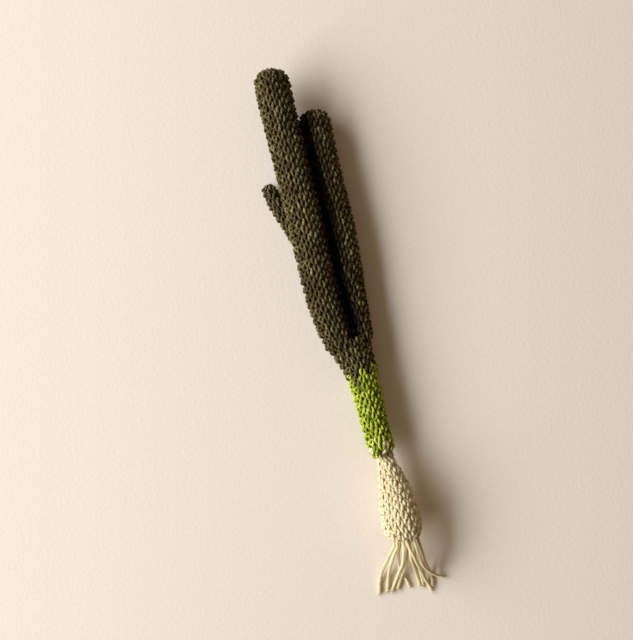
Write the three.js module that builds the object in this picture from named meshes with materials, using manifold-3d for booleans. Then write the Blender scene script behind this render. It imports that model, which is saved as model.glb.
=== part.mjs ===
// A crocheted green onion: a cream bulb with yarn roots, a lime band, a dark green collar,
// two stuffed leaves and a short side shoot. It lies on its side on a table, and the firm
// stem holds the bulb just clear of it.
// Millimetres. +Y runs from the roots to the leaf tips, +Z is up, the table is z = 0.
import * as THREE from 'three';
import { mergeVertices } from 'three/addons/utils/BufferGeometryUtils.js';
import Module from 'manifold-3d';

// Driving dimensions
const fabric = 2.4; // thickness of the crocheted wall
const gap = 0.3; // clearance between pieces that touch
const fillingGap = 0.5; // clearance between a cover and its stuffing
const yarn = 1.65; // diameter of one root
const bulbRadius = 11.6;
const neckRadius = 5.1;
const bandRadius = 8.0;
const collarHalfHeight = 9.4;
const longLeafRadius = 10.2;
const secondLeafRadius = 9.2;
const shootRadius = 4.6;

// Stations along the stem, measured from the root end
const baseStation = 1.2;
const neckStation = 48.9;
const bandEndStation = 94.8;
const collarEndStation = 115.8;

const sides = 16;

// Centrelines. Each runs from the root end towards the tip.
const stemPath = curve([
  [4.2, -136.1, 14.4], [4.9, -131.5, 14.5], [5.5, -124.4, 14.5], [6.0, -116.3, 14.3],
  [6.2, -108.3, 13.7], [6.1, -99.2, 12.8], [5.8, -90.1, 11.9], [5.0, -80, 11.0],
  [4.9, -68, 10.3], [5.0, -56, 9.9], [5.0, -44, 9.7], [4.3, -34, 9.7],
  [3.1, -27.5, 9.7], [2.6, -22, 9.7], [2.6, -20.7, 9.7],
]);
const longLeafPath = curve([
  [-2.4, -20.2, 9.9], [-2.4, -18.6, 9.9], [-4.4, -5, 11.8], [-5.2, 10, 14.2],
  [-5.1, 26, 16.0], [-4.6, 42, 16.6], [-4.1, 62, 16.8], [-3.9, 84, 16.8],
  [-3.9, 104, 16.8], [-3.6, 119, 16.8], [-3.1, 127, 16.8], [-2.2, 133.7, 16.8],
]);
const secondLeafPath = curve([
  [12.0, -20.2, 9.0], [12.0, -18.6, 9.0], [11.7, -7, 8.5], [10.6, 7, 8.4],
  [11.6, 22, 8.4], [13.0, 41, 8.4], [13.2, 58, 8.4], [13.4, 80, 8.4],
  [14.4, 97, 8.4], [14.7, 103, 8.4], [15.3, 108.0, 8.4],
]);
const shootPath = curve([
  [-5.8, 32, 11.5], [-8.7, 39.5, 9.8], [-11.6, 46.9, 8.1], [-14.4, 53.8, 6.5],
  [-17.5, 61.5, 5.1], [-19.1, 67.5, 4.3], [-19.1, 74.9, 4.1],
]);

// Routes of the ten roots: straight out of the base, down to the table, and along it.
const rootRoutes = [
  [[-1.1, -134.4, 13.3], [-1.6, -136.6, 13.2], [-5.0, -141.2, 10.7], [-8.1, -146.0, 6.8],
    [-11.7, -151.3, 3.1], [-14.3, -157.0, 1.2], [-16.4, -164.7, 1.0]],
  [[0.2, -134.6, 17.1], [-0.2, -136.8, 16.7], [-2.8, -141.0, 14.1], [-4.8, -145.4, 9.5],
    [-7.1, -150.3, 4.6], [-9.3, -156.6, 1.4], [-11.7, -164.7, 1.0]],
  [[1.6, -134.8, 14.3], [1.3, -137.0, 14.2], [-0.5, -141.8, 12.1], [-1.3, -146.8, 7.9],
    [-1.4, -151.8, 3.5], [-0.1, -158.0, 1.2], [1.8, -165.3, 1.0]],
  [[3.4, -135.1, 18.4], [3.2, -137.4, 18.2], [2.0, -142.6, 15.9], [0.2, -148.6, 10.5],
    [-2.4, -153.4, 5.3], [-5.4, -158.6, 1.7], [-9.8, -164.9, 1.0]],
  [[5.0, -135.35, 15.6], [4.9, -137.7, 15.5], [4.0, -142.8, 13.8], [2.5, -148.6, 9.7],
    [0.3, -153.3, 5.6], [-2.6, -158.4, 1.8], [-6.2, -164.6, 1.0]],
  [[6.6, -135.6, 19.4], [6.4, -138.0, 19.4], [5.7, -143.0, 17.5], [5.9, -148.6, 11.3],
    [6.5, -153.5, 4.5], [6.8, -158.8, 1.3], [7.3, -165.8, 1.0]],
  [[8.8, -135.9, 16.1], [8.7, -138.3, 16.0], [8.1, -143.4, 13.9], [7.7, -149.0, 8.3],
    [8.2, -153.7, 3.1], [8.9, -159.2, 1.2], [9.0, -166.8, 1.0]],
  [[5.4, -135.05, 21.1], [5.7, -137.4, 21.5], [7.2, -143.5, 20.1], [8.5, -150.4, 13.3],
    [9.6, -156.7, 6.3], [11.0, -163.0, 1.9], [13.3, -170.1, 1.0]],
  [[11.7, -135.25, 17.8], [11.9, -137.6, 17.9], [12.3, -143.8, 15.5], [12.6, -150.4, 9.3],
    [13.8, -155.5, 3.7], [14.6, -160.4, 1.2], [14.0, -167.2, 1.0]],
  [[9.3, -135.3, 20.1], [9.5, -137.8, 20.6], [10.1, -144.6, 18.7], [11.3, -151.6, 12.9],
    [14.0, -156.8, 7.0], [17.8, -161.4, 2.4], [22.0, -164.0, 1.0]],
];

// Outlines as [radius, station]. Each starts at the root end.
const bulbOutline = outline([
  [6.0, baseStation + 0.2], [9.0, baseStation + 1.5], [10.7, 5.4], [11.4, 9.3],
  [bulbRadius, 13.5], [11.5, 17.5], [11.1, 22], [10.3, 26], [9.3, 30.5], [8.2, 35],
  [6.9, 40.5], [5.6, 45], [neckRadius, neckStation],
], 14);
const bandOutline = outline([
  [6.3, neckStation + gap], [7.5, neckStation + 2.6], [7.8, neckStation + 7],
  [bandRadius, 66], [8.4, 80], [9.3, bandEndStation],
], 9);
const collarOutline = outline([
  [9.4, bandEndStation + gap], [9.8, 100], [10.6, 105.5], [12.0, 110.5], [14.1, collarEndStation],
], 7);
const longLeafOutline = tubeOutline(longLeafPath, longLeafRadius, 9.2, 10, 7.5, 17);
const secondLeafOutline = tubeOutline(secondLeafPath, secondLeafRadius, 4.9, 36, 6.5, 17);
const shootOutline = tubeOutline(shootPath, shootRadius, 4.4, 10, 4.2, 6);

const cream = finish(0xe2d0a5);
const lime = finish(0x96aa28);
const darkGreen = finish(0x443f28);
const fibre = finish(0xece6da);

const wasm = await Module();
wasm.setup();

const greenOnion = new THREE.Group();

// The long leaf lies over the second leaf, which is dented where they press on each other.
const longLeafSpots = longLeafPath.getSpacedPoints(160);
const onTable = (place, depth) => place.setZ(Math.max(place.z, depth));
const besideLongLeaf = (place, depth, middle) => (
  onTable(clearOfLongLeaf(place, depth, middle), depth)
);

// The second leaf starts tall and narrow where it comes out beside the long leaf.
const secondLeafRise = (station) => (
  THREE.MathUtils.lerp(8.2 / 4.9, 1, THREE.MathUtils.smoothstep(station, 0, 22))
);

// The collar flattens into an oval and creases between the two leaves, above and below.
const collarRise = (station) => collarHalfHeight / interpolate(collarOutline, station);
const creaseDepth = 0.24; // share of the radius
const creaseAngle = THREE.MathUtils.degToRad(26);
const collarCrease = (station, angle) => {
  const fromUpright = Math.min(angle, Math.PI - angle);
  const across = Math.exp(-(((fromUpright - creaseAngle) / 0.35) ** 2));
  return 1 - creaseDepth * across * THREE.MathUtils.smoothstep(station, 102, collarEndStation);
};

// Crocheted covers
const bulbProfile = shell([point(0, baseStation), ...bulbOutline]);
addPiece('bulb_cover', laid(stemPath, bulbProfile, onTable), cream);
addPiece('stem_cover', laid(stemPath, shell(bandOutline), onTable), lime);
addPiece('sheath_cover',
  laid(stemPath, shell(collarOutline), onTable, collarRise, collarCrease), darkGreen);
addPiece('long_leaf_cover', laid(longLeafPath, shell(longLeafOutline), onTable), darkGreen);
addPiece('second_leaf_cover',
  laid(secondLeafPath, shell(secondLeafOutline), besideLongLeaf, secondLeafRise), darkGreen);

// The short shoot is sewn against the long leaf's flank, so its base is cut to that curve.
const shoot = laid(shootPath, shell(shootOutline), onTable);
const flank = laid(longLeafPath, solid(longLeafOutline.map((p) => point(p.x + gap, p.y))), onTable);
addPiece('short_shoot_cover', cutAway(shoot, flank), darkGreen);

// Fibre stuffing
const stemInside = [
  point(0, baseStation), ...bulbOutline, ...bandOutline.slice(1), ...collarOutline.slice(1),
];
const stemRise = (station) => (station > bandEndStation ? collarRise(station) : 1);
addPiece('stem_stuffing',
  laid(stemPath, filling(stemInside), onTable, stemRise, collarCrease), fibre);
addPiece('long_leaf_stuffing', laid(longLeafPath, filling(longLeafOutline), onTable), fibre);
addPiece('second_leaf_stuffing',
  laid(secondLeafPath, filling(secondLeafOutline), besideLongLeaf, secondLeafRise), fibre);

// Roots
rootRoutes.forEach((route, index) => {
  const name = `root_${String(index + 1).padStart(2, '0')}`;
  addPiece(name, yarnTube(curve(route)), cream);
});

export default greenOnion;

function curve(points) {
  return new THREE.CatmullRomCurve3(points.map((p) => new THREE.Vector3(...p)));
}

function point(radius, station, depth = 0) {
  return Object.assign(new THREE.Vector2(radius, station), { depth });
}

// A smooth outline through hand-set [radius, station] pairs
function outline(pairs, steps) {
  const spline = new THREE.SplineCurve(pairs.map(([radius, station]) => point(radius, station)));
  return spline.getPoints(steps).map((p) => point(p.x, p.y));
}

// A tube that swells from its start to an even radius and ends in a blunt round tip
function tubeOutline(path, radius, startRadius, swell, tipLength, steps) {
  const length = path.getLength();
  const straight = Array.from({ length: steps + 1 }, (_, i) => {
    const station = (length - tipLength) * (i / steps);
    const ease = THREE.MathUtils.smoothstep(station, 0, swell);
    return point(THREE.MathUtils.lerp(startRadius, radius, ease), station);
  });
  const shoulder = 0.72; // share of the radius taken up by the rounding
  const tip = [22, 42, 60, 75].map(THREE.MathUtils.degToRad).map((angle) => point(
    radius * (1 - shoulder + shoulder * Math.cos(angle)),
    length - tipLength * (1 - Math.sin(angle)),
  ));
  return [...straight, ...tip, point(0, length)];
}

// Moves an outline inwards by a depth, square to itself, and keeps its open ends level
function inset(points, depth) {
  const last = points.length - 1;
  return points.map((p, i) => {
    if (p.x === 0) {
      return point(0, i === 0 ? p.y + depth : p.y - depth, depth);
    }
    const along = new THREE.Vector2()
      .subVectors(points[Math.min(i + 1, last)], points[Math.max(i - 1, 0)])
      .normalize();
    const isOpenEnd = i === 0 || i === last;
    const station = isOpenEnd ? p.y : p.y + along.x * depth;
    return point(p.x - along.y * depth, station, depth);
  });
}

// The profile of a hollow cover: closed at whichever end lies on the axis
function shell(outer) {
  const inner = inset(outer, fabric).reverse();
  if (outer.at(-1).x === 0) {
    return [...inner, ...outer];
  }
  if (outer[0].x === 0) {
    return [...outer, ...inner];
  }
  return [...outer, ...inner, outer[0]];
}

// The profile of a solid piece with the same outline
function solid(outer) {
  return [point(0, outer[0].y), ...outer.filter((p) => p.x > 1e-6), point(0, outer.at(-1).y)];
}

// The profile of the stuffing inside a cover
function filling(outer) {
  return solid(inset(outer, fabric + fillingGap));
}

// The radius of an outline at a station
function interpolate(points, station) {
  const next = points.findIndex((p) => p.y >= station);
  if (next < 1) {
    return next === 0 ? points[0].x : points.at(-1).x;
  }
  const share = (station - points[next - 1].y) / (points[next].y - points[next - 1].y);
  return THREE.MathUtils.lerp(points[next - 1].x, points[next].x, share);
}

// Turns a profile round its axis and lays it along a path. rise scales the height of a section
// against its width, and crease draws it in at an angle, counted from upright towards +X.
function laid(path, profile, settle, rise = () => 1, crease = () => 1) {
  const geometry = new THREE.LatheGeometry(profile, sides);
  const place = geometry.getAttribute('position');
  const length = path.getLength();
  for (let i = 0; i < place.count; i += 1) {
    const station = place.getY(i);
    const along = path.getTangentAt(THREE.MathUtils.clamp(station / length, 0, 1));
    const sideways = new THREE.Vector3(along.y, -along.x, 0).normalize();
    const upwards = new THREE.Vector3().crossVectors(sideways, along);
    const middle = path.getPointAt(THREE.MathUtils.clamp(station / length, 0, 1));
    const drawnIn = crease(station, Math.atan2(place.getX(i), place.getZ(i)));
    const spot = middle.clone()
      .addScaledVector(sideways, place.getX(i) * drawnIn)
      .addScaledVector(upwards, place.getZ(i) * rise(station) * drawnIn);
    settle(spot, profile[i % profile.length].depth, middle);
    place.setXYZ(i, spot.x, spot.y, spot.z);
  }
  return geometry;
}

// Draws a place in towards the middle of its own section until it is clear of the long leaf
function clearOfLongLeaf(place, depth, middle) {
  const slice = Math.max(longLeafSpots.findIndex((spot) => spot.y >= place.y), 0);
  const leafMiddle = longLeafSpots[slice];
  const station = (slice / (longLeafSpots.length - 1)) * longLeafPath.getLength();
  const reach = interpolate(longLeafOutline, station) + gap + 0.2 + depth;
  const start = new THREE.Vector2(middle.x - leafMiddle.x, middle.z - leafMiddle.z);
  const outwards = new THREE.Vector2(place.x - middle.x, place.z - middle.z);
  const distance = outwards.length();
  outwards.normalize();
  const across = start.dot(outwards);
  const root = across ** 2 - start.lengthSq() + reach ** 2;
  const entry = -across - Math.sqrt(Math.max(root, 0));
  if (root > 0 && entry > 0 && entry < distance) {
    place.setX(middle.x + outwards.x * entry).setZ(middle.z + outwards.y * entry);
  }
  return place;
}

function yarnTube(path) {
  const section = new THREE.Shape().absarc(0, 0, yarn / 2, 0, Math.PI * 2);
  const steps = Math.round(path.getLength() / (2.2 * yarn));
  return new THREE.ExtrudeGeometry(section, {
    extrudePath: path, steps, curveSegments: 4, bevelEnabled: false,
  });
}

function toSolid(geometry) {
  const bare = geometry.clone();
  bare.deleteAttribute('normal');
  bare.deleteAttribute('uv');
  const merged = mergeVertices(bare, 1e-4);
  const index = Array.from(merged.index.array);
  const corners = [];
  for (let i = 0; i < index.length; i += 3) {
    const [a, b, c] = index.slice(i, i + 3);
    if (a !== b && b !== c && c !== a) {
      corners.push(a, b, c);
    }
  }
  return new wasm.Manifold(new wasm.Mesh({
    numProp: 3,
    vertProperties: new Float32Array(merged.getAttribute('position').array),
    triVerts: new Uint32Array(corners),
  }));
}

function cutAway(piece, tool) {
  const cut = toSolid(piece).subtract(toSolid(tool)).getMesh();
  const geometry = new THREE.BufferGeometry();
  geometry.setAttribute('position', new THREE.BufferAttribute(cut.vertProperties, 3));
  geometry.setIndex(new THREE.BufferAttribute(cut.triVerts, 1));
  return geometry;
}

function finish(color) {
  return new THREE.MeshStandardMaterial({ color, roughness: 0.95, metalness: 0 });
}

function addPiece(name, geometry, material) {
  const mesh = new THREE.Mesh(geometry, material);
  mesh.name = name;
  greenOnion.add(mesh);
}
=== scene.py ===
"""A crocheted green onion lying on paper: a cream bulb with yarn roots, a lime band,
a dark green sheath, two stuffed leaves and a short side shoot."""
import math

import bpy
import numpy as np
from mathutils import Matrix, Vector
from mathutils.bvhtree import BVHTree
from mathutils.kdtree import KDTree


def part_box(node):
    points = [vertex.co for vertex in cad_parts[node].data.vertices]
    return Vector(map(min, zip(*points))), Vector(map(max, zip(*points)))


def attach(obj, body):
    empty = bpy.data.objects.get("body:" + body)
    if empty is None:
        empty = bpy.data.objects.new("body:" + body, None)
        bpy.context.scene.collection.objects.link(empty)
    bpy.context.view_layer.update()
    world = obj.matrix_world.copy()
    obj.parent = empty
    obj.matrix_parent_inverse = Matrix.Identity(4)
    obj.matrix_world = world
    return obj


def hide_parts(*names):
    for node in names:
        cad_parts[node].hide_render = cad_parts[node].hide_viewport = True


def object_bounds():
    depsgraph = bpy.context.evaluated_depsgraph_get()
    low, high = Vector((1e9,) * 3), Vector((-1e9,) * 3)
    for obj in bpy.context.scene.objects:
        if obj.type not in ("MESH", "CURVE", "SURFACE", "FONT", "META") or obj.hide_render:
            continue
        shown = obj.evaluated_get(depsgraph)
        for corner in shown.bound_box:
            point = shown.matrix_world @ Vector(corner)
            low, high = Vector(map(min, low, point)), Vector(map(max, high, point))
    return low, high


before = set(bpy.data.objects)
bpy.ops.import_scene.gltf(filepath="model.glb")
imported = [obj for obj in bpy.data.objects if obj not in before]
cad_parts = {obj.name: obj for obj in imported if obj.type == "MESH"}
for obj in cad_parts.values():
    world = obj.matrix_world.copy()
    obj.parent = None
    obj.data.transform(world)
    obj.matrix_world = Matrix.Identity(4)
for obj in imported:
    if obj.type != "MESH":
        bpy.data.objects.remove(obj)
cad_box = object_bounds()
bpy.ops.object.select_all(action="DESELECT")
MM = 0.001

# ---- Camera -----------------------------------------------------------------------------
# The onion is seen from straight above, turned a little so that its tips lean left. The
# camera is held about half a metre over the table, with a normal lens.
camera_height = 550 * MM
seen_width = 351.3 * MM  # width of the view at the height of the stem's middle
stem_height = 10 * MM
sensor_width = 36
aimed_left = 12.0 * MM  # the view's middle is this far left of the onion's middle
aimed_up = 12.8 * MM  # and this far towards its tips
view_turn = math.radians(-14.5)
box_middle = (cad_box[0] + cad_box[1]) / 2

camera_data = bpy.data.cameras.new("overhead_camera")
camera_data.sensor_fit = "HORIZONTAL"
camera_data.sensor_width = sensor_width
camera_data.lens = sensor_width * (camera_height - stem_height) / seen_width
camera = bpy.data.objects.new("overhead_camera", camera_data)
camera.location = (box_middle.x - aimed_left, box_middle.y + aimed_up, camera_height)
camera.rotation_euler = (0, 0, view_turn)
bpy.context.scene.collection.objects.link(camera)
bpy.context.scene.camera = camera

# ---- Roots ------------------------------------------------------------------------------
# Ten cut lengths of the cream cotton yarn, each looped through the bulb's base and left
# loose. Each is three plies twisted together, and the cut end has begun to open.
root_routes = [
    [(-1.1, -134.4, 13.3), (-1.6, -136.6, 13.2), (-5.0, -141.2, 10.7), (-8.1, -146.0, 6.8),
     (-11.7, -151.3, 3.1), (-14.3, -157.0, 1.2), (-16.4, -164.7, 1.0)],
    [(0.2, -134.6, 17.1), (-0.2, -136.8, 16.7), (-2.8, -141.0, 14.1), (-4.8, -145.4, 9.5),
     (-7.1, -150.3, 4.6), (-9.3, -156.6, 1.4), (-11.7, -164.7, 1.0)],
    [(1.6, -134.8, 14.3), (1.3, -137.0, 14.2), (-0.5, -141.8, 12.1), (-1.3, -146.8, 7.9),
     (-1.4, -151.8, 3.5), (-0.1, -158.0, 1.2), (1.8, -165.3, 1.0)],
    [(3.4, -135.1, 18.4), (3.2, -137.4, 18.2), (2.0, -142.6, 15.9), (0.2, -148.6, 10.5),
     (-2.4, -153.4, 5.3), (-5.4, -158.6, 1.7), (-9.8, -164.9, 1.0)],
    [(5.0, -135.35, 15.6), (4.9, -137.7, 15.5), (4.0, -142.8, 13.8), (2.5, -148.6, 9.7),
     (0.3, -153.3, 5.6), (-2.6, -158.4, 1.8), (-6.2, -164.6, 1.0)],
    [(6.6, -135.6, 19.4), (6.4, -138.0, 19.4), (5.7, -143.0, 17.5), (5.9, -148.6, 11.3),
     (6.5, -153.5, 4.5), (6.8, -158.8, 1.3), (7.3, -165.8, 1.0)],
    [(8.8, -135.9, 16.1), (8.7, -138.3, 16.0), (8.1, -143.4, 13.9), (7.7, -149.0, 8.3),
     (8.2, -153.7, 3.1), (8.9, -159.2, 1.2), (9.0, -166.8, 1.0)],
    [(5.4, -135.05, 21.1), (5.7, -137.4, 21.5), (7.2, -143.5, 20.1), (8.5, -150.4, 13.3),
     (9.6, -156.7, 6.3), (11.0, -163.0, 1.9), (13.3, -170.1, 1.0)],
    [(11.7, -135.25, 17.8), (11.9, -137.6, 17.9), (12.3, -143.8, 15.5), (12.6, -150.4, 9.3),
     (13.8, -155.5, 3.7), (14.6, -160.4, 1.2), (14.0, -167.2, 1.0)],
    [(9.3, -135.3, 20.1), (9.5, -137.8, 20.6), (10.1, -144.6, 18.7), (11.3, -151.6, 12.9),
     (14.0, -156.8, 7.0), (17.8, -161.4, 2.4), (22.0, -164.0, 1.0)],
]
ply_radius = 0.53 * MM
ply_offset = 0.47 * MM  # from the root's middle to the ply's
ply_turn = 5.0 * MM  # length of one full turn of the twist
ply_sides = 6
root_step = 0.5 * MM
opened_end = 5.0 * MM  # length over which the cut end has opened
least_opened, most_opened = 0.6, 1.6  # how much further apart the plies lie at the cut
thinned_end = 0.55  # part of its thickness that a ply has lost at the cut
darkest_ply, palest_ply = -0.12, 0.16
looped_in = 2.0  # millimetres of each root that are inside the bulb's base
off_table = 0.05 * MM  # least height of any yarn over the table
yarn_plies = 3
yarn_run = 11.0 * MM  # length of yarn in one stitch, which the yarn's pattern repeats on
fibre_mottle = 0.7 * MM
fibres_to_ply = 7.0  # strands of fibre drawn across each ply
strand_wander = 9.0  # how far the mottle bends the strands, in radians
strand_height, mottle_height = 0.12, 0.5  # as parts of a ply's height
ply_height = 0.35 * MM  # height of a ply's round back over its groove
# Painted shade: a ply's back is coloured lighter than its groove, for the shade in the groove.
ply_painted_shade, mottle_tone = 0.40, 0.6  # how much a ply's back and the mottle lighten the yarn
root_random = np.random.default_rng(11)


def linear(hex_colour):
    """An sRGB hex colour as linear RGBA."""
    parts = [int(hex_colour[i:i + 2], 16) / 255 for i in (1, 3, 5)]
    parts = [c / 12.92 if c <= 0.04045 else ((c + 0.055) / 1.055) ** 2.4 for c in parts]
    return (*parts, 1.0)


def add_node(material, kind, inputs=None, **settings):
    """Adds a node with its settings, and sets or links its inputs."""
    node = material.node_tree.nodes.new(kind)
    for name, value in settings.items():
        setattr(node, name, value)
    for key, value in (inputs or {}).items():
        if isinstance(value, bpy.types.NodeSocket):
            material.node_tree.links.new(value, node.inputs[key])
        else:
            node.inputs[key].default_value = value
    return node


def spun_yarn(name, painted_shade_colour, dark_tone_and_groove_shade, body, bloom, halo=None, fluffiness=0.3, ridged=1.0):
    """Three-ply spun yarn, double-knitting weight, matt and slightly hairy. The twist shows as
    slanting ridges with painted shade in their grooves, the fibres as a fine mottle and as
    strands lying along the twist, and painted shade darkens the yarn down in the fabric. The
    fluff round it is bloom or halo coloured."""
    yarn = bpy.data.materials.new(name)
    yarn.use_nodes = True
    yarn.node_tree.nodes.clear()
    run = add_node(yarn, "ShaderNodeUVMap", uv_map="yarn_run")
    twist = add_node(yarn, "ShaderNodeVectorMath",
                     {0: run.outputs["UV"], 1: (2 * yarn_plies, yarn_plies, 0)},
                     operation="DOT_PRODUCT")
    turn = add_node(yarn, "ShaderNodeMath", {0: twist.outputs["Value"], 1: math.pi},
                    operation="MULTIPLY")
    wave = add_node(yarn, "ShaderNodeMath", {0: turn.outputs[0]}, operation="SINE")
    round_ply = add_node(yarn, "ShaderNodeMath", {0: wave.outputs[0]}, operation="ABSOLUTE")
    ply = add_node(yarn, "ShaderNodeMath", {0: round_ply.outputs[0], 1: ridged, 2: 1 - ridged},
                   operation="MULTIPLY_ADD")
    place = add_node(yarn, "ShaderNodeTexCoord")
    # Fibres are far finer than this; mottle and strands are drawn coarse enough to show.
    fibre = add_node(yarn, "ShaderNodeTexNoise",
                     {"Vector": place.outputs["Object"], "Scale": 1 / fibre_mottle,
                      "Detail": 2.0, "Roughness": 0.6})
    wander = add_node(yarn, "ShaderNodeMath", {0: fibre.outputs["Fac"], 1: strand_wander},
                      operation="MULTIPLY")
    lie = add_node(yarn, "ShaderNodeMath",
                   {0: turn.outputs[0], 1: fibres_to_ply, 2: wander.outputs[0]},
                   operation="MULTIPLY_ADD")
    strand = add_node(yarn, "ShaderNodeMath", {0: lie.outputs[0]}, operation="SINE")
    shade = add_node(yarn, "ShaderNodeAttribute", attribute_name="shade")
    painted_shade = add_node(yarn, "ShaderNodeAttribute", attribute_name="painted_shade")
    # Painted shade: a ply is coloured darker in its groove than on its back.
    tone = add_node(yarn, "ShaderNodeMath",
                    {0: ply.outputs[0], 1: ply_painted_shade, 2: shade.outputs["Fac"]},
                    operation="MULTIPLY_ADD")
    mottle = add_node(yarn, "ShaderNodeMath",
                      {0: fibre.outputs["Fac"], 1: mottle_tone, 2: tone.outputs[0]},
                      operation="MULTIPLY_ADD", use_clamp=True)
    colour = add_node(yarn, "ShaderNodeValToRGB", {"Fac": mottle.outputs[0]})
    ramp = colour.color_ramp
    ramp.elements[0].position = 0.1
    ramp.elements[0].color = linear(dark_tone_and_groove_shade)
    ramp.elements[1].position = 1.0
    ramp.elements[1].color = linear(bloom)
    ramp.elements.new(0.55).color = linear(body)
    # Painted shade: the colour goes towards the shade colour down in the fabric, on the lining
    # and between the leaves.
    depth = add_node(yarn, "ShaderNodeMix",
                     {"Factor": painted_shade.outputs["Fac"], 6: colour.outputs["Color"],
                      7: linear(painted_shade_colour)}, data_type="RGBA")
    relief = add_node(yarn, "ShaderNodeMath",
                      {0: strand.outputs[0], 1: strand_height, 2: ply.outputs[0]},
                      operation="MULTIPLY_ADD")
    ridge = add_node(yarn, "ShaderNodeMath",
                     {0: fibre.outputs["Fac"], 1: mottle_height, 2: relief.outputs[0]},
                     operation="MULTIPLY_ADD")
    bump = add_node(yarn, "ShaderNodeBump",
                    {"Height": ridge.outputs[0], "Distance": ply_height, "Strength": 1.0})
    fluff = add_node(yarn, "ShaderNodeMath",
                     {0: painted_shade.outputs["Fac"], 1: -fluffiness, 2: fluffiness},
                     operation="MULTIPLY_ADD", use_clamp=True)
    surface = add_node(yarn, "ShaderNodeBsdfPrincipled",
                       {"Base Color": depth.outputs[2], "Normal": bump.outputs["Normal"],
                        "Roughness": 0.92, "Specular IOR Level": 0.15,
                        "Sheen Weight": fluff.outputs[0], "Sheen Roughness": 0.4,
                        "Sheen Tint": linear(halo or bloom)})
    add_node(yarn, "ShaderNodeOutputMaterial", {"Surface": surface.outputs["BSDF"]})
    return yarn


def smooth_route(points, step):
    """A smooth line through points in mm, sampled at even steps."""
    points = np.array(points) * MM
    knots = np.concatenate([[0], np.cumsum(
        np.sqrt(np.linalg.norm(np.diff(points, axis=0), axis=1)))])
    slopes = np.gradient(points, knots, axis=0)
    line = []
    for i in range(len(points) - 1):
        span = knots[i + 1] - knots[i]
        for t in np.linspace(0, 1, 24, endpoint=i == len(points) - 2):
            line.append((2 * t**3 - 3 * t**2 + 1) * points[i] + (t**3 - 2 * t**2 + t)
                        * span * slopes[i] + (3 * t**2 - 2 * t**3) * points[i + 1]
                        + (t**3 - t**2) * span * slopes[i + 1])
    line = np.array(line)
    along = np.concatenate([[0], np.cumsum(np.linalg.norm(np.diff(line, axis=0), axis=1))])
    even = np.linspace(0, along[-1], max(2, round(along[-1] / step) + 1))
    return np.stack([np.interp(even, along, line[:, k]) for k in range(3)], axis=1)


def frames_along(line):
    """The two directions across a line at each of its points, carried along unturned."""
    ahead = np.gradient(line, axis=0)
    ahead /= np.linalg.norm(ahead, axis=1)[:, None]
    side = np.cross(ahead[0], (0, 0, 1))
    across = []
    for direction in ahead:
        side = side - direction * side.dot(direction)
        side /= np.linalg.norm(side)
        across.append(side)
    across = np.array(across)
    return across, np.cross(across, ahead)


def yarn_tube(line, radii, sides):
    """A closed tube of yarn along a line: its vertices, faces and places along the yarn."""
    across, over = frames_along(line)
    angles = np.arange(sides) * 2 * math.pi / sides
    ring = (np.cos(angles)[None, :, None] * across[:, None] +
            np.sin(angles)[None, :, None] * over[:, None])
    spots = (line[:, None] + ring * np.asarray(radii)[:, None, None]).reshape(-1, 3)
    along = np.concatenate([[0], np.cumsum(np.linalg.norm(np.diff(line, axis=0), axis=1))])
    faces, runs = [], []
    for i in range(len(line) - 1):
        for k in range(sides):
            after = (k + 1) % sides
            faces.append((i * sides + k, (i + 1) * sides + k,
                          (i + 1) * sides + after, i * sides + after))
            here, there = along[i] / yarn_run, along[i + 1] / yarn_run
            runs += [(here, k / sides), (there, k / sides),
                     (there, (k + 1) / sides), (here, (k + 1) / sides)]
    last = (len(line) - 1) * sides
    faces.append(tuple(range(sides)))
    faces.append(tuple(reversed(range(last, last + sides))))
    runs += [(0, 0)] * (2 * sides)
    return spots, faces, runs


def yarn_mesh(name, parts, material):
    """One object from tubes and stitches, each given as its vertices, faces, places along
    the yarn, shade, and painted shade, which darkens its colour down in the fabric."""
    spots, faces, runs, shades, painted_shades = [], [], [], [], []
    count = 0
    for part_spots, part_faces, part_runs, shade, painted_shade in parts:
        spots.append(part_spots)
        faces += [tuple(v + count for v in face) for face in part_faces]
        runs += part_runs
        shades.append(np.broadcast_to(shade, len(part_spots)))
        painted_shades.append(np.broadcast_to(painted_shade, len(part_spots)))
        count += len(part_spots)
    mesh = bpy.data.meshes.new(name)
    mesh.from_pydata(np.concatenate(spots).tolist(), [], faces)
    mesh.uv_layers.new(name="yarn_run").data.foreach_set("uv", np.array(runs, "f").ravel())
    for label, values in (("shade", shades), ("painted_shade", painted_shades)):
        layer = mesh.attributes.new(label, "FLOAT", "POINT")
        layer.data.foreach_set("value", np.concatenate(values).astype("f"))
    mesh.polygons.foreach_set("use_smooth", [True] * len(mesh.polygons))
    mesh.materials.append(material)
    piece = bpy.data.objects.new(name, mesh)
    bpy.context.scene.collection.objects.link(piece)
    return piece


# Unbleached cotton: nearly white where lit, with painted shade that makes it honey coloured in
# its grooves.
root_yarn = spun_yarn("cotton_root_yarn", "#a8925f", "#dac084", "#f4e0aa", "#fff5d2",
                      ridged=0.2)

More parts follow.
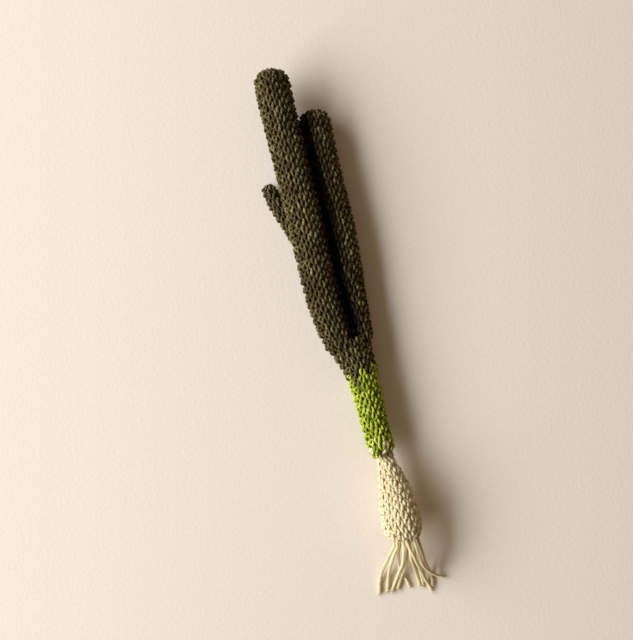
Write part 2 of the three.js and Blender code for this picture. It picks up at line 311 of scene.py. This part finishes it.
for number, points in enumerate(root_routes, start=1):
    base, outside = np.array(points[0]), np.array(points[1])
    threaded = base + (base - outside) / np.linalg.norm(base - outside) * looped_in
    line = smooth_route([threaded, *points], root_step)
    length = np.linalg.norm(np.diff(line, axis=0), axis=1).sum()
    across, over = frames_along(line)
    along = np.linspace(0, 1, len(line)) * length
    opening = np.clip((along - (length - opened_end)) / opened_end, 0, 1)
    first_angle = root_random.uniform(0, 2 * math.pi)
    plies = []
    for ply in range(yarn_plies):
        angle = first_angle + 2 * math.pi * (ply / yarn_plies + along / ply_turn)
        opened = opening**2 * root_random.uniform(least_opened, most_opened)
        reach = ply_offset * (1 + opened)
        strand = (line + across * (np.cos(angle) * reach)[:, None]
                  + over * (np.sin(angle) * reach)[:, None])
        kept = len(line) - ply  # the plies end a little apart
        radii = ply_radius * (1 - thinned_end * opening**2)
        strand[:, 2] = np.maximum(strand[:, 2], radii + off_table)
        shade = root_random.uniform(darkest_ply, palest_ply)
        plies.append((*yarn_tube(strand[:kept], radii[:kept], ply_sides), shade, 0.0))
    root = yarn_mesh(f"root_{number:02d}_yarn", plies, root_yarn)
    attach(root, "root")
    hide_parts(f"root_{number:02d}")

# ---- Bulb -------------------------------------------------------------------------------
# The bulb is single crochet in cream cotton, begun with a ring of six stitches at the base
# and worked in one spiral. The same spiral goes on in the band and the sheath.
stitch_width = 4.3 * MM
round_height = 4.25 * MM
first_ring = 6  # stitches in the ring that a closed end begins or finishes with
cotton_radius = 1.15 * MM
cotton_pressed = 0.65  # height of the cotton in the fabric, as a part of its width
acrylic_radius = 0.88 * MM
acrylic_pressed = 0.9
torus_radius = 1.6 * MM  # of the ring that each stitch is shaped from
loop_rings = 12
yarn_sides = 5

# A skin is the outside of a cover, as rows of points round it, for the stitches to lie on.
around = 48  # points in one row
row_step = 1.5 * MM
well_outside = 40 * MM  # the covers are sought from this far out
open_margin = 1.2 * MM  # rows stop this far short of a cover's open end
carried_on = 6 * MM  # a skin goes on this far past an open end, for the stitches there
worked_over = 2.4 * MM  # stitches at a join reach this far past it, into each other
pole_clear = 1.9 * MM  # stitches stay this far from the middle of a closed end
count_slack = 0.6  # stitches by which a round may miss its girth before the count changes
round_skew = 0.6 * MM  # rounds lie a little askew, higher on one side of the tube

# No two stitches made by hand are alike.
smallest, largest = 0.94, 1.07
slant_spread = 0.13  # of a stitch's lean to one side
strays_aside, strays_up, strays_out = 0.20 * MM, 0.22 * MM, 0.12 * MM
shade_spread = 0.13

# Painted shade: the yarn's colour darkens from this depth in the fabric, over this much more
# of it, to this shade.
shaded_from, shaded_over, deepest_shade = 0.9 * MM, 1.4 * MM, 0.8
acrylic_lining_depth, cotton_lining_depth = 1.5 * MM, 1.4 * MM
lining_wall = 0.8 * MM
lining_step = 1.6 * MM
# Painted shade on the lining behind the stitches.
lining_shade = 0.75
stem_random = np.random.default_rng(7)

# The loop of yarn that one stitch shows, in mm, leftwards, upwards and outwards from the
# fabric's face: from its foot up the left leg to its head, and down the right leg. One leg
# stands out a little higher up than the other, and the cotton's are thicker and flatter.
cotton_path = [(0.00, -2.10, -2.00), (0.60, -1.60, -1.60), (0.92, -0.70, -1.10),
               (1.05, 0.20, -0.68), (1.00, 1.05, -0.75), (0.70, 1.75, -1.35),
               (0.00, 2.00, -1.90), (-0.75, 1.40, -1.50), (-0.98, 0.50, -0.95),
               (-0.98, -0.35, -0.58), (-0.80, -1.10, -0.72), (-0.42, -1.80, -1.40)]
acrylic_path = [(0.00, -2.05, -2.30), (0.70, -1.55, -1.90), (1.05, -0.65, -1.30),
                (1.20, 0.25, -0.60), (1.10, 1.05, -0.65), (0.70, 1.75, -1.45),
                (-0.05, 1.95, -2.15), (-0.85, 1.30, -1.75), (-1.10, 0.45, -1.05),
                (-1.10, -0.35, -0.40), (-0.90, -1.10, -0.50), (-0.45, -1.75, -1.50)]


def stitch_loop(path, yarn_radius, pressed):
    """One stitch: a torus, pressed flat by a part of its height, whose rings are set along
    the loop of yarn. Its vertices, faces and their corners' places on the yarn."""
    bpy.ops.mesh.primitive_torus_add(
        major_segments=loop_rings, minor_segments=yarn_sides,
        major_radius=torus_radius, minor_radius=yarn_radius)
    loop = bpy.context.active_object
    bpy.ops.transform.resize(value=(1, 1, pressed), center_override=(0, 0, 0))
    bpy.ops.object.transform_apply(location=False, rotation=False, scale=True)
    for ring in range(loop_rings):
        angle = 2 * math.pi * ring / loop_rings
        # Ring 9 is at the foot, so the loop is counted from there.
        sideways, upwards, outwards = path[(ring + 3) % loop_rings]
        bpy.ops.object.mode_set(mode="EDIT")
        bpy.ops.mesh.select_all(action="DESELECT")
        bpy.ops.object.mode_set(mode="OBJECT")
        for corner in range(ring * yarn_sides, (ring + 1) * yarn_sides):
            loop.data.vertices[corner].select = True
        bpy.ops.object.mode_set(mode="EDIT")
        bpy.ops.transform.translate(value=(
            sideways * MM - torus_radius * math.cos(angle),
            upwards * MM - torus_radius * math.sin(angle), outwards * MM))
        bpy.ops.object.mode_set(mode="OBJECT")
    spots = np.array([v.co for v in loop.data.vertices])
    faces, runs = [], []
    for polygon in loop.data.polygons:
        # A skin's turns run to the left, seen from outside, which mirrors the stitch, so
        # its faces are listed backwards to point outwards.
        corners = tuple(reversed(polygon.vertices))
        faces.append(corners)
        rings = [v // yarn_sides for v in corners]
        sides = [v % yarn_sides for v in corners]
        for ring, side in zip(rings, sides):
            ring += loop_rings * (ring == 0 and max(rings) > 1)
            side += yarn_sides * (side == 0 and max(sides) > 1)
            runs.append((ring / loop_rings, side / yarn_sides))
    bpy.data.objects.remove(loop)
    return spots, faces, runs


def cut_round(tree, middle, ahead, tilt):
    """A row of points round the outside of a cover, from its underside towards +X."""
    side = Vector(ahead).cross((0, 0, 1)).normalized()
    up = side.cross(ahead)
    row = []
    for k in range(around):
        for nudge in (0, 0.02, -0.02, 0.05, -0.05):  # past a seam between two faces
            turn = 2 * math.pi * (k + nudge) / around
            out = (side * math.sin(turn) - up * math.cos(turn)) * math.cos(tilt)
            out += Vector(ahead) * math.sin(tilt)
            hit = tree.ray_cast(Vector(middle) + out * well_outside, -out)[0]
            if hit:
                break
        row.append(hit)
    return np.array(row)


def outer_skin(node, start_cap, end_cap, begin=open_margin):
    """Rows of points on the outside of a CAD cover, from the root end to the tip. A closed
    end has a cap of that length, and an open end has none."""
    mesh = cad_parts[node].data
    tree = BVHTree.FromPolygons([v.co for v in mesh.vertices],
                                [p.vertices for p in mesh.polygons])
    low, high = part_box(node)
    first = low[1] + max(start_cap, begin)
    last = high[1] - max(end_cap, open_margin)
    middle = np.array([(low[0] + high[0]) / 2, first, (low[2] + high[2]) / 2])
    middles = []
    for station in np.linspace(first, last, round((last - first) / row_step) + 1):
        middle[1] = station
        for _ in range(3):
            row = cut_round(tree, middle, (0, 1, 0), 0)
            middle = (row.min(axis=0) + row.max(axis=0)) / 2
        middles.append(middle.copy())
    middles = np.array(middles)
    for _ in range(4):
        middles[1:-1] = (middles[:-2] + 2 * middles[1:-1] + middles[2:]) / 4
    ahead = np.gradient(middles, axis=0)
    ahead /= np.linalg.norm(ahead, axis=1)[:, None]
    tilts = np.radians(np.arange(8, 84, 8))
    if not start_cap:
        ahead[0] = ahead[1] = (0, 1, 0)
    if not end_cap:
        ahead[-1] = ahead[-2] = (0, 1, 0)
    rows = [cut_round(tree, m, a, 0) for m, a in zip(middles, ahead)]
    if start_cap:
        cap = [cut_round(tree, middles[0], ahead[0], -tilt) for tilt in tilts]
        before = Vector(middles[0] - ahead[0] * well_outside)
        pole = tree.ray_cast(before, Vector(ahead[0]))[0]
        rows = [np.array([pole] * around)] + cap[::-1] + rows
    if end_cap:
        cap = [cut_round(tree, middles[-1], ahead[-1], tilt) for tilt in tilts]
        beyond = Vector(middles[-1] + ahead[-1] * well_outside)
        pole = tree.ray_cast(beyond, -Vector(ahead[-1]))[0]
        rows = rows + cap + [np.array([pole] * around)]
    return np.array(rows)


def finished_skin(rows, start_open, end_open, buried=0.0):
    """Smooths a skin, spaces its points evenly round each row, carries its open ends on,
    and gives its points, outward directions, lengths along it and girths. A buried start
    belongs to the piece, but lies inside the piece that it is sewn to."""
    for _ in range(3):
        rows = (np.roll(rows, 1, axis=1) + 2 * rows + np.roll(rows, -1, axis=1)) / 4
    rows[1:-1] = (rows[:-2] + 2 * rows[1:-1] + rows[2:]) / 4
    even = []
    for row in rows:
        loop = np.concatenate([row, row[:1]])
        along = np.concatenate([[0], np.cumsum(
            np.linalg.norm(np.diff(loop, axis=0), axis=1))])
        spots = np.linspace(0, along[-1], around, endpoint=False)
        even.append(np.stack([np.interp(spots, along, loop[:, k]) for k in range(3)], 1))
    rows = np.array(even)
    if start_open:
        step = (rows[0] - rows[3]).mean(axis=0)
        step *= (carried_on + open_margin + buried) / np.linalg.norm(step)
        rows = np.concatenate([[rows[0] + step], rows])
    if end_open:
        step = (rows[-1] - rows[-4]).mean(axis=0)
        step *= (carried_on + open_margin) / np.linalg.norm(step)
        rows = np.concatenate([rows, [rows[-1] + step]])
    steps = np.linalg.norm(np.diff(rows, axis=0), axis=2).mean(axis=1)
    lengths = np.concatenate([[0], np.cumsum(steps)]) - (carried_on if start_open else 0)
    girths = np.linalg.norm(rows - np.roll(rows, 1, axis=1), axis=2).sum(axis=1)
    ahead = np.gradient(rows, lengths, axis=0)
    round_it = np.roll(rows, -1, axis=1) - np.roll(rows, 1, axis=1)
    out = np.cross(ahead, round_it)
    for pole, beside in ((0, 1), (-1, -2)):
        if girths[pole] < 0.01 * MM:
            out[pole] = out[beside].mean(axis=0)
    out /= np.linalg.norm(out, axis=2)[:, :, None]
    return {"rows": rows, "out": out, "lengths": lengths, "girths": girths,
            "length": lengths[-1] - (carried_on if end_open else 0)}


def on_skin(skin, length, turn, height):
    """Points at lengths along a skin, turns round it and heights over it."""
    row = np.interp(length, skin["lengths"], np.arange(len(skin["lengths"])))
    low = np.clip(row.astype(int), 0, len(skin["lengths"]) - 2)
    up = (row - low)[..., None]
    column = np.mod(turn, 1.0) * around
    left = column.astype(int) % around
    right = (left + 1) % around
    over = (column - column.astype(int))[..., None]

    def blend(grid):
        lower = grid[low, left] * (1 - over) + grid[low, right] * over
        upper = grid[low + 1, left] * (1 - over) + grid[low + 1, right] * over
        return lower * (1 - up) + upper * up

    out = blend(skin["out"])
    out /= np.linalg.norm(out, axis=-1, keepdims=True)
    return blend(skin["rows"]) + out * np.asarray(height)[..., None]


def spiral(skin, leans, start_closed, end_closed):
    """Where each stitch of a spiral sits: length along the skin, turn round it, and
    stitches in its round. Stitches are added and dropped with the girth, and each round
    leans over the last by part of a stitch: lengths, and the lean there."""
    first = 0 if start_closed else -worked_over
    last = skin["length"] + (0 if end_closed else worked_over)
    rounds = round((last - first) / round_height)
    pitch = (last - first) / rounds
    places = []
    count = first_ring
    drift = 0.0
    for r in range(rounds):
        girth = np.interp(first + (r + 0.5) * pitch, skin["lengths"], skin["girths"])
        wanted = girth / stitch_width
        if abs(wanted - count) > count_slack:
            count = max(first_ring, round(wanted))
        for j in range(count):
            length = first + pitch * (r + j / count)
            if start_closed:
                length = max(length, pole_clear)
            if end_closed:
                length = min(length, skin["length"] - pole_clear)
            places.append((length, (drift - j) / count, count))
        drift += np.interp(first + r * pitch, *leans)
    places = np.array(places)
    places[:, 0] += round_skew * np.sin(2 * math.pi * places[:, 1])
    return places


def lay_stitches(skin, places, random, loop, valley_shade=0.0):
    """Sets a stitch at each place: its vertices, faces, places along the yarn, shade and
    painted shade. Each stitch can be given painted shade besides, for the shade between two
    leaves."""
    spots, faces, runs = loop
    valley_shade = np.broadcast_to(valley_shade, len(places))
    parts = []
    for (length, turn, count), stitch_valley_shade in zip(places, valley_shade):
        girth = np.interp(length, skin["lengths"], skin["girths"])
        fit = girth / count / stitch_width
        grown = random.uniform(smallest, largest)
        slant = random.normal(0, slant_spread)
        sideways = (spots[:, 0] + spots[:, 1] * slant) * grown * fit
        upwards = spots[:, 1] * grown + random.normal(0, strays_up)
        height = spots[:, 2] + random.normal(0, strays_out)
        turned = turn + (sideways + random.normal(0, strays_aside)) / girth
        ends = (skin["lengths"][0], skin["lengths"][-1])
        laid = on_skin(skin, np.clip(length + upwards, *ends), turned, height)
        laid[:, 2] = np.maximum(laid[:, 2], off_table)
        # Painted shade down in the fabric, with more where the leaves meet.
        painted_shade = deepest_shade * np.clip((-spots[:, 2] - shaded_from) / shaded_over, 0, 1)
        painted_shade = np.clip(painted_shade + stitch_valley_shade, 0, 1)
        start = random.uniform(0, 1)
        right_leg, left_leg = random.normal(0, shade_spread, 2)
        shade = np.where(spots[:, 0] < 0, right_leg, left_leg)
        parts.append((laid, faces, [(u + start, v) for u, v in runs], shade, painted_shade))
    return parts


def lining(skin, first, last, depth=acrylic_lining_depth):
    """The inner loops of the fabric, behind the stitches, between two lengths of a skin:
    a thin wall that is drawn over with the same slanting plies, and has painted shade."""
    lengths = np.linspace(first, last, round((last - first) / lining_step) + 1)
    turns = np.arange(around) / around
    grid = on_skin(skin, np.repeat(lengths, around).reshape(-1, around),
                   np.tile(turns, (len(lengths), 1)), np.full((len(lengths), around), -depth))
    plies_round = round(2 * yarn_plies * skin["girths"].max() / yarn_run)
    runs_round = plies_round / (2 * yarn_plies)
    runs_along = lengths / (2 * math.pi * acrylic_radius)
    faces, runs = [], []
    for i in range(len(lengths) - 1):
        for k in range(around):
            after = (k + 1) % around
            faces.append((i * around + k, (i + 1) * around + k,
                          (i + 1) * around + after, i * around + after))
            here, there = runs_round * k / around, runs_round * (k + 1) / around
            runs += [(here, runs_along[i]), (here, runs_along[i + 1]),
                     (there, runs_along[i + 1]), (there, runs_along[i])]
    mesh = bpy.data.meshes.new("lining")
    mesh.from_pydata(grid.reshape(-1, 3).tolist(), [], faces)
    mesh.uv_layers.new(name="yarn_run").data.foreach_set("uv", np.array(runs, "f").ravel())
    tube = bpy.data.objects.new("lining", mesh)
    bpy.context.scene.collection.objects.link(tube)
    bpy.ops.object.select_all(action="DESELECT")
    bpy.context.view_layer.objects.active = tube
    tube.select_set(True)
    bpy.ops.object.mode_set(mode="EDIT")
    bpy.ops.mesh.select_all(action="SELECT")
    bpy.ops.mesh.remove_doubles(threshold=0.02 * MM)
    bpy.ops.mesh.normals_make_consistent(inside=False)
    bpy.ops.object.mode_set(mode="OBJECT")
    wall = tube.modifiers.new("wall", "SOLIDIFY")
    wall.thickness = lining_wall
    wall.offset = -1
    bpy.ops.object.modifier_apply(modifier=wall.name)
    spots = np.array([v.co for v in tube.data.vertices])
    walls = [tuple(p.vertices) for p in tube.data.polygons]
    runs = [tuple(corner.uv) for corner in tube.data.uv_layers["yarn_run"].data]
    bpy.data.objects.remove(tube)
    return spots, walls, runs, 0.0, lining_shade


cotton_stitch = stitch_loop(cotton_path, cotton_radius, cotton_pressed)
acrylic_stitch = stitch_loop(acrylic_path, acrylic_radius, acrylic_pressed)
bulb_rows = outer_skin("bulb_cover", 8 * MM, 0)
band_rows = outer_skin("stem_cover", 0, 0)
sheath_rows = outer_skin("sheath_cover", 0, 0)
stem_skin = finished_skin(np.concatenate([bulb_rows, band_rows, sheath_rows]), False, True)
band_row, sheath_row = len(bulb_rows), len(bulb_rows) + len(band_rows)
band_begins = stem_skin["lengths"][band_row - 1:band_row + 1].mean()
band_ends = stem_skin["lengths"][sheath_row - 1:sheath_row + 1].mean()
bulb_lean, sheath_lean = 0.32, 0.12
stem_leans = ([band_begins, band_ends], [bulb_lean, sheath_lean])
stem_places = spiral(stem_skin, stem_leans, True, False)

# The yarn is changed raggedly. The turns round the stem are 0.25 on the right, 0.5 on top
# and 0.75 on the left, each with the rounds by which one colour reaches into the next.
cream_reach = [(0.00, 0.0), (0.25, 0.2), (0.37, 0.7), (0.42, 2.2), (0.47, 1.0),
               (0.52, -0.2), (0.64, -0.2), (0.68, 1.4), (0.72, 0.0), (1.00, 0.0)]
lime_reach = [(0.00, 0.0), (0.26, -0.6), (0.34, 1.2), (0.42, -0.8), (0.50, 1.3),
              (0.59, -1.6), (0.67, 0.6), (0.75, -0.4), (1.00, 0.0)]
stitch_turn = np.mod(stem_places[:, 1], 1)
rounds_in_band = (stem_places[:, 0] - band_begins) / round_height
rounds_in_sheath = (stem_places[:, 0] - band_ends) / round_height
is_cream = rounds_in_band < np.interp(stitch_turn, *zip(*cream_reach))
is_dark = rounds_in_sheath > np.interp(stitch_turn, *zip(*lime_reach))
cream_places = stem_places[is_cream]
# Unbleached cotton again, thick and soft: its painted shade is pale, so its stitches run
# together in the light.
cream_yarn = spun_yarn("cream_cotton_yarn", "#d3c297", "#e4d19c", "#f6e4b8", "#fbf1d2")
bulb = yarn_mesh(
    "bulb_crochet", lay_stitches(stem_skin, cream_places, stem_random, cotton_stitch)
    + [lining(stem_skin, 0, band_begins, cotton_lining_depth)], cream_yarn)
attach(bulb, "root")
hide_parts("bulb_cover")

# ---- Band -------------------------------------------------------------------------------
# The band is the same spiral in bright lime acrylic yarn, between the bulb's neck and the
# dark green sheath.
lime_places = stem_places[~is_cream & ~is_dark]
# Bright dyed acrylic: pale yellow green on its backs, with painted shade that makes it olive
# in its grooves and gaps.
lime_yarn = spun_yarn("lime_acrylic_yarn", "#262e05", "#66780e", "#b2c530", "#eef584")
band = yarn_mesh(
    "band_crochet", lay_stitches(stem_skin, lime_places, stem_random, acrylic_stitch)
    + [lining(stem_skin, band_begins, band_ends)], lime_yarn)
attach(band, "root")
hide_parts("stem_cover")

# ---- Sheath -----------------------------------------------------------------------------
# The sheath is the dark green collar in which the two leaves begin, worked in the same
# spiral and widened until it can be split in two.
dark_places = stem_places[is_dark]
# Heathered acrylic in dark olive: mossy in its fluff, with painted shade brown to black in its
# grooves, its gaps and between the leaves.
green_yarn = spun_yarn("dark_green_acrylic_yarn", "#160f10", "#30221c", "#5a4930", "#a19966",
                       halo="#9cae50", fluffiness=0.45)
sheath = yarn_mesh(
    "sheath_crochet", lay_stitches(stem_skin, dark_places, stem_random, acrylic_stitch)
    + [lining(stem_skin, band_ends, stem_skin["length"])], green_yarn)
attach(sheath, "root")
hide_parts("sheath_cover")

# ---- Long leaf --------------------------------------------------------------------------
# The long leaf is a stuffed tube of dark green single crochet that lies over the second
# leaf. Its blunt tip is closed by dropping stitches round by round.
leaf_random = np.random.default_rng(23)
# Painted shade: yarn in the narrow valley between the leaves is coloured darker, for the shade
# there.
valley_shade_reach = 10.0 * MM  # yarn that is nearer than this to the other leaf is darker
valley_shade_strength = 1.5
leaf_cap, second_cap = 8 * MM, 7 * MM  # lengths of the closed tips
long_lean = 0.09

# Both leaves' skins come first, because each leaf's yarn gets painted shade close to the
# other.
long_skin = finished_skin(outer_skin("long_leaf_cover", 0, leaf_cap), True, False)
second_skin = finished_skin(outer_skin("second_leaf_cover", 0, second_cap), True, False)


def points_of(skin):
    """A tree of a skin's points, to find the nearest of them."""
    tree = KDTree(skin["rows"].shape[0] * around)
    for number, spot in enumerate(skin["rows"].reshape(-1, 3)):
        tree.insert(spot, number)
    tree.balance()
    return tree


def painted_valley_shade(skin, places, other):
    """How much painted shade each stitch gets, for the shade of lying close to another leaf.
    """
    spots = on_skin(skin, places[:, 0], places[:, 1], np.zeros(len(places)))
    gaps = np.array([other.find(spot)[2] for spot in spots])
    return np.clip(valley_shade_strength * (1 - gaps / valley_shade_reach), 0, 1)


long_points, second_points = points_of(long_skin), points_of(second_skin)
long_places = spiral(long_skin, ([0], [long_lean]), False, True)
long_leaf = yarn_mesh(
    "long_leaf_crochet",
    lay_stitches(long_skin, long_places, leaf_random, acrylic_stitch,
                 painted_valley_shade(long_skin, long_places, second_points))
    + [lining(long_skin, 0, long_skin["length"])], green_yarn)
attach(long_leaf, "root")
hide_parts("long_leaf_cover")

# ---- Second leaf ------------------------------------------------------------------------
# The second leaf is a slimmer tube of the same yarn. It lies on the table, pressed in
# where the long leaf rests against it.
second_lean = 0.07
second_places = spiral(second_skin, ([0], [second_lean]), False, True)
second_leaf = yarn_mesh(
    "second_leaf_crochet",
    lay_stitches(second_skin, second_places, leaf_random, acrylic_stitch,
                 painted_valley_shade(second_skin, second_places, long_points))
    + [lining(second_skin, 0, second_skin["length"])], green_yarn)
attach(second_leaf, "root")
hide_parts("second_leaf_cover")

# ---- Short shoot ------------------------------------------------------------------------
# The short shoot is a finger of seven or eight stitches round, sewn to the long leaf's
# flank and pointing away from it.
shoot_full = 26 * MM  # its section is whole from here on, above the cut of its base
shoot_buried = 17 * MM  # length below that, part of it inside the leaf's flank
sewn_in = 1.0 * MM  # stitches deeper in the leaf than this are left out
shoot_cap = 4 * MM
shoot_lean = 0.08
shoot_rows = outer_skin("short_shoot_cover", 0, shoot_cap, begin=shoot_full)
shoot_skin = finished_skin(shoot_rows, True, False, shoot_buried)
flank_out = long_skin["out"].reshape(-1, 3)
shoot_places = []
for place in spiral(shoot_skin, ([0], [shoot_lean]), False, True):
    spot = on_skin(shoot_skin, place[0:1], place[1:2], [0.0])[0]
    nearest, number, _ = long_points.find(spot)
    if (spot - np.array(nearest)).dot(flank_out[number]) > -sewn_in:
        shoot_places.append(place)
shoot = yarn_mesh(
    "short_shoot_crochet", lay_stitches(shoot_skin, shoot_places, leaf_random, acrylic_stitch)
    + [lining(shoot_skin, 0, shoot_skin["length"])], green_yarn)
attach(shoot, "root")
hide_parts("short_shoot_cover")

# ---- Stuffing ---------------------------------------------------------------------------
# Polyester fibre is pushed into the stem and each leaf. It is lumpy, and the fabric
# round it hides it.
wisp_size = 1.5 * MM
lump_size = 6 * MM
lump_depth = 0.8 * MM
lump_level = 1.8  # over 1, so that every lump draws in from the filling's CAD surface
fibre_faces = 1.2 * MM

# Carded polyester fibre: off-white, dull, with wisps that catch the light.
fibre = bpy.data.materials.new("polyester_fibre_stuffing")
fibre.use_nodes = True
fibre.node_tree.nodes.clear()
fibre_place = add_node(fibre, "ShaderNodeTexCoord")
fibre_wisps = add_node(fibre, "ShaderNodeTexNoise",
                       {"Vector": fibre_place.outputs["Object"], "Scale": 1 / wisp_size,
                        "Detail": 4.0, "Distortion": 1.5})
fibre_colour = add_node(fibre, "ShaderNodeMix",
                        {"Factor": fibre_wisps.outputs["Fac"], 6: linear("#cfc9bd"),
                         7: linear("#f1eee6")}, data_type="RGBA")
fibre_bump = add_node(fibre, "ShaderNodeBump",
                      {"Height": fibre_wisps.outputs["Fac"], "Distance": 0.5 * MM})
fibre_surface = add_node(fibre, "ShaderNodeBsdfPrincipled",
                         {"Base Color": fibre_colour.outputs[2], "Roughness": 1.0,
                          "Normal": fibre_bump.outputs["Normal"], "Sheen Weight": 0.3,
                          "Specular IOR Level": 0.1})
add_node(fibre, "ShaderNodeOutputMaterial", {"Surface": fibre_surface.outputs["BSDF"]})
lumps = bpy.data.textures.new("stuffing_lumps", "CLOUDS")
lumps.noise_scale = lump_size

for node in ("stem_stuffing", "long_leaf_stuffing", "second_leaf_stuffing"):
    filling = bpy.data.objects.new(f"{node}_fibre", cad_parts[node].data.copy())
    bpy.context.scene.collection.objects.link(filling)
    bpy.ops.object.select_all(action="DESELECT")
    bpy.context.view_layer.objects.active = filling
    filling.select_set(True)
    bpy.ops.object.mode_set(mode="EDIT")
    bpy.ops.mesh.select_all(action="SELECT")
    bpy.ops.mesh.remove_doubles(threshold=0.01 * MM)
    bpy.ops.object.mode_set(mode="OBJECT")
    remesh = filling.modifiers.new("even_faces", "REMESH")
    remesh.mode = "VOXEL"
    remesh.voxel_size = fibre_faces
    bpy.ops.object.modifier_apply(modifier=remesh.name)
    lump = filling.modifiers.new("lumps", "DISPLACE")
    lump.texture = lumps
    lump.texture_coords = "LOCAL"
    lump.strength = lump_depth
    lump.mid_level = lump_level
    bpy.ops.object.modifier_apply(modifier=lump.name)
    filling.data.polygons.foreach_set("use_smooth", [True] * len(filling.data.polygons))
    filling.data.materials.clear()
    filling.data.materials.append(fibre)
    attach(filling, "root")
    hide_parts(node)

# ---- Paper ------------------------------------------------------------------------------
# The onion lies on a large sheet of warm off-white drawing paper. It is felted cotton and
# wood pulp, uncoated, so that it is matt and has a fine tooth.
tooth_size = 2 * MM  # coarser than the real tooth, so that it shows
tooth_height = 0.12 * MM
paper = bpy.data.materials.new("drawing_paper")
paper.use_nodes = True
paper.node_tree.nodes.clear()
paper_place = add_node(paper, "ShaderNodeTexCoord")
paper_tooth = add_node(paper, "ShaderNodeTexNoise",
                       {"Vector": paper_place.outputs["Object"], "Scale": 1 / tooth_size,
                        "Detail": 3.0, "Roughness": 0.65})
paper_colour = add_node(paper, "ShaderNodeMix",
                        {"Factor": paper_tooth.outputs["Fac"], 6: linear("#e9ddcf"),
                         7: linear("#f3e9dc")}, data_type="RGBA")
paper_bump = add_node(paper, "ShaderNodeBump",
                      {"Height": paper_tooth.outputs["Fac"], "Distance": tooth_height})
paper_surface = add_node(paper, "ShaderNodeBsdfPrincipled",
                         {"Base Color": paper_colour.outputs[2], "Roughness": 0.95,
                          "Normal": paper_bump.outputs["Normal"],
                          "Specular IOR Level": 0.2})
add_node(paper, "ShaderNodeOutputMaterial", {"Surface": paper_surface.outputs["BSDF"]})
bpy.ops.object.select_all(action="DESELECT")
bpy.ops.mesh.primitive_plane_add(size=6)
table = bpy.context.active_object
table.name = "paper_table"
table.data.materials.append(paper)

# ---- Light ------------------------------------------------------------------------------
# A wide soft box stands low on the left, like a window, so that shadows are long and soft.
# The room fills them with a dim, warmer light.
lamp_bearing = math.radians(165)
lamp_elevation = math.radians(31)
lamp_distance = 1.8
lamp_data = bpy.data.lights.new("wide_soft_box", "AREA")
lamp_data.shape = "RECTANGLE"
lamp_data.size = 3.0
lamp_data.size_y = 1.05
lamp_data.energy = 71
lamp_data.color = (0.97, 1.0, 1.04)
lamp_direction = Vector((math.cos(lamp_bearing) * math.cos(lamp_elevation),
                         math.sin(lamp_bearing) * math.cos(lamp_elevation),
                         math.sin(lamp_elevation)))
lamp = bpy.data.objects.new("wide_soft_box", lamp_data)
lamp.location = lamp_direction * lamp_distance
lamp.rotation_euler = lamp_direction.to_track_quat("Z", "Y").to_euler()
bpy.context.scene.collection.objects.link(lamp)

room = bpy.data.worlds.new("room")
room.use_nodes = True
room_light = room.node_tree.nodes["Background"]
room_light.inputs["Color"].default_value = (1.0, 0.75, 0.47, 1.0)
room_light.inputs["Strength"].default_value = 0.19
bpy.context.scene.world = room
bpy.context.scene.view_settings.view_transform = "Standard"
